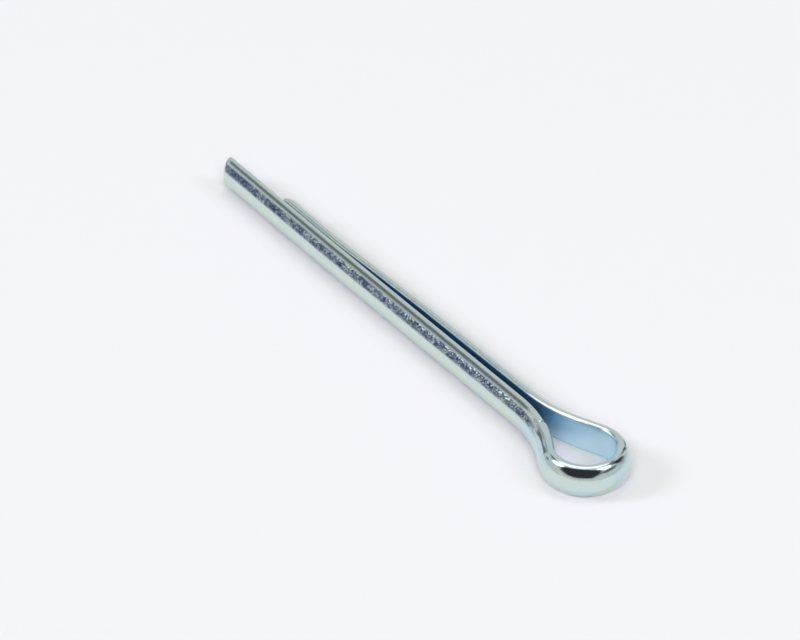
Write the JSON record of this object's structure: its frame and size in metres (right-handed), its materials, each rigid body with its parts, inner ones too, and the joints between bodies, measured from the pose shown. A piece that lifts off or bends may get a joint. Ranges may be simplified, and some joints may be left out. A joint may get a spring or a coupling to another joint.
{
  "type": "cotter pin",
  "caption": "Extended-prong cotter pin: half-round wire folded round an open eye, its long and short legs lying flat to flat as one round shank with sheared ends.",
  "frame": {"origin": "on the shank's axis, where the necks of the eye run into the legs", "axes": "+X along the shank from the eye to the tips, +Y toward the long leg's side, +Z along the axis of the eye's hole, so the pin lies flat on a surface below it"},
  "size_m": [0.0556, 0.0078, 0.0028],
  "materials": {
    "zinc_plate": "bright zinc plate, slightly mottled, over drawn low-carbon steel wire"
  },
  "bodies": {
    "root": {"cotter_pin": "zinc_plate"}
  },
  "joints": []
}
